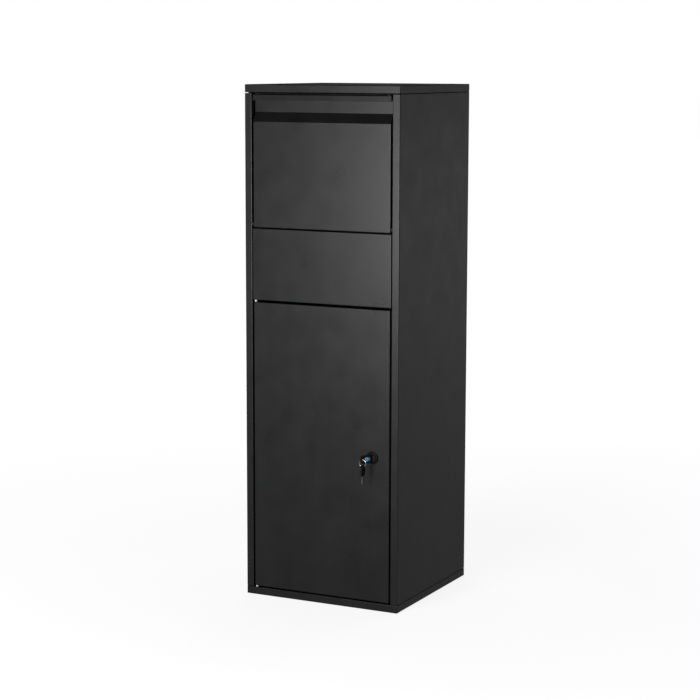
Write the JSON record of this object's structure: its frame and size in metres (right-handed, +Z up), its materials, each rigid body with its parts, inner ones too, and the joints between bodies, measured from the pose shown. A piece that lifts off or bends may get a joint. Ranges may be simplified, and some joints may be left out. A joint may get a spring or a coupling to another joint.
{
  "type": "parcel drop box",
  "caption": "Floor-standing sheet-metal parcel drop box with a tilting hopper over a locked, hinged door.",
  "frame": {"origin": "centre of the base's underside, on the floor", "axes": "+Z up; the front with the hopper and the door faces -Y; +Y is the wall side; +X is the lock side"},
  "size_m": [0.46, 0.4946, 1.4],
  "materials": {
    "cabinet_paint": "satin black powder coat with a fine texture",
    "hopper_paint": "satin black powder coat with a fine texture",
    "door_paint": "satin black powder coat with a fine texture",
    "inner_steel": "thin satin black powder coat on inner sheet",
    "zinc_fasteners": "bright zinc plate",
    "rubber_pads": "matt black rubber",
    "white_nylon": "natural white nylon",
    "black_nylon": "black nylon",
    "clear_dome": "clear soft polymer",
    "lock_black": "gloss black",
    "lock_metal": "nickel plate, lightly worn",
    "key_metal": "nickel-plated brass, dull",
    "ring_steel": "bright spring steel",
    "key_plastic": "moulded black plastic",
    "key_badge": "pearl blue inlay"
  },
  "bodies": {
    "cabinet": {"left_side_panel": "cabinet_paint", "right_side_panel": "cabinet_paint", "top_panel": "cabinet_paint", "base_panel": "cabinet_paint", "back_panel": "inner_steel", "back_panel_rivets": "zinc_fasteners", "front_fascia": "cabinet_paint", "fascia_bracket_left": "inner_steel", "fascia_bracket_right": "inner_steel", "fascia_screws": "zinc_fasteners", "header_rail": "inner_steel", "anti_theft_baffle": "inner_steel", "door_stop_strip": "inner_steel", "door_buffers": "rubber_pads", "hopper_buffers": "rubber_pads", "upper_hinge_pin": "zinc_fasteners", "lower_hinge_pin": "zinc_fasteners", "upper_hinge_collar": "white_nylon", "lower_hinge_washer": "white_nylon", "hopper_bushes": "black_nylon", "top_panel_screws": "zinc_fasteners", "base_panel_screws": "zinc_fasteners"},
    "hopper": {"hopper_front": "hopper_paint", "hopper_handle": "hopper_paint", "handle_bumper": "clear_dome", "hopper_cheek_left": "inner_steel", "hopper_cheek_right": "inner_steel", "hopper_tray": "inner_steel", "hopper_pivot_pins": "zinc_fasteners", "pivot_clips": "zinc_fasteners", "hopper_stop_studs": "zinc_fasteners", "hopper_rivets": "zinc_fasteners"},
    "door": {"door_skin": "door_paint", "door_stiffener": "inner_steel", "lock_rosette": "lock_black", "lock_housing": "lock_metal", "lock_nut": "lock_metal"},
    "lock_plug": {"lock_plug": "lock_metal", "lock_cam": "lock_metal", "cam_washer": "zinc_fasteners", "cam_screw": "zinc_fasteners", "key_blade": "key_metal"},
    "key_head": {"key_bow": "key_plastic", "key_inlay": "key_badge", "key_pin": "zinc_fasteners"},
    "key_ring": {"key_ring": "ring_steel"},
    "spare_key": {"spare_key_bow": "key_plastic", "spare_key_pin": "zinc_fasteners"},
    "spare_blade": {"spare_key_blade": "key_metal"}
  },
  "joints": [
    {"name": "hopper_tilt", "type": "hinge", "parent": "cabinet", "child": "hopper", "pos_m": [0, -0.219, 1.027], "axis": [1, 0, 0], "range_deg": [0, 50]},
    {"name": "door_swing", "type": "hinge", "parent": "cabinet", "child": "door", "pos_m": [-0.2005, -0.22, 0.42], "axis": [0, 0, -1], "range_deg": [0, 110]},
    {"name": "lock_turn", "type": "hinge", "parent": "door", "child": "lock_plug", "pos_m": [0.1552, -0.225, 0.418], "axis": [0, -1, 0], "range_deg": [0, 90]},
    {"name": "key_fold", "type": "hinge", "parent": "lock_plug", "child": "key_head", "pos_m": [0.1552, -0.242, 0.418], "axis": [0, 0, -1], "range_deg": [-80, 42]},
    {"name": "ring_swing", "type": "hinge", "parent": "key_head", "child": "key_ring", "pos_m": [0.14264, -0.25807, 0.417], "axis": [1, 0, 0], "range_deg": [-30, 10]},
    {"name": "spare_key_swing", "type": "hinge", "parent": "key_ring", "child": "spare_key", "pos_m": [0.14264, -0.25807, 0.3982], "axis": [1, 0, 0], "range_deg": [-45, 10]},
    {"name": "spare_key_fold", "type": "hinge", "parent": "spare_key", "child": "spare_blade", "pos_m": [0.14264, -0.25807, 0.3754], "axis": [0, 1, 0], "range_deg": [-40, 40]}
  ]
}
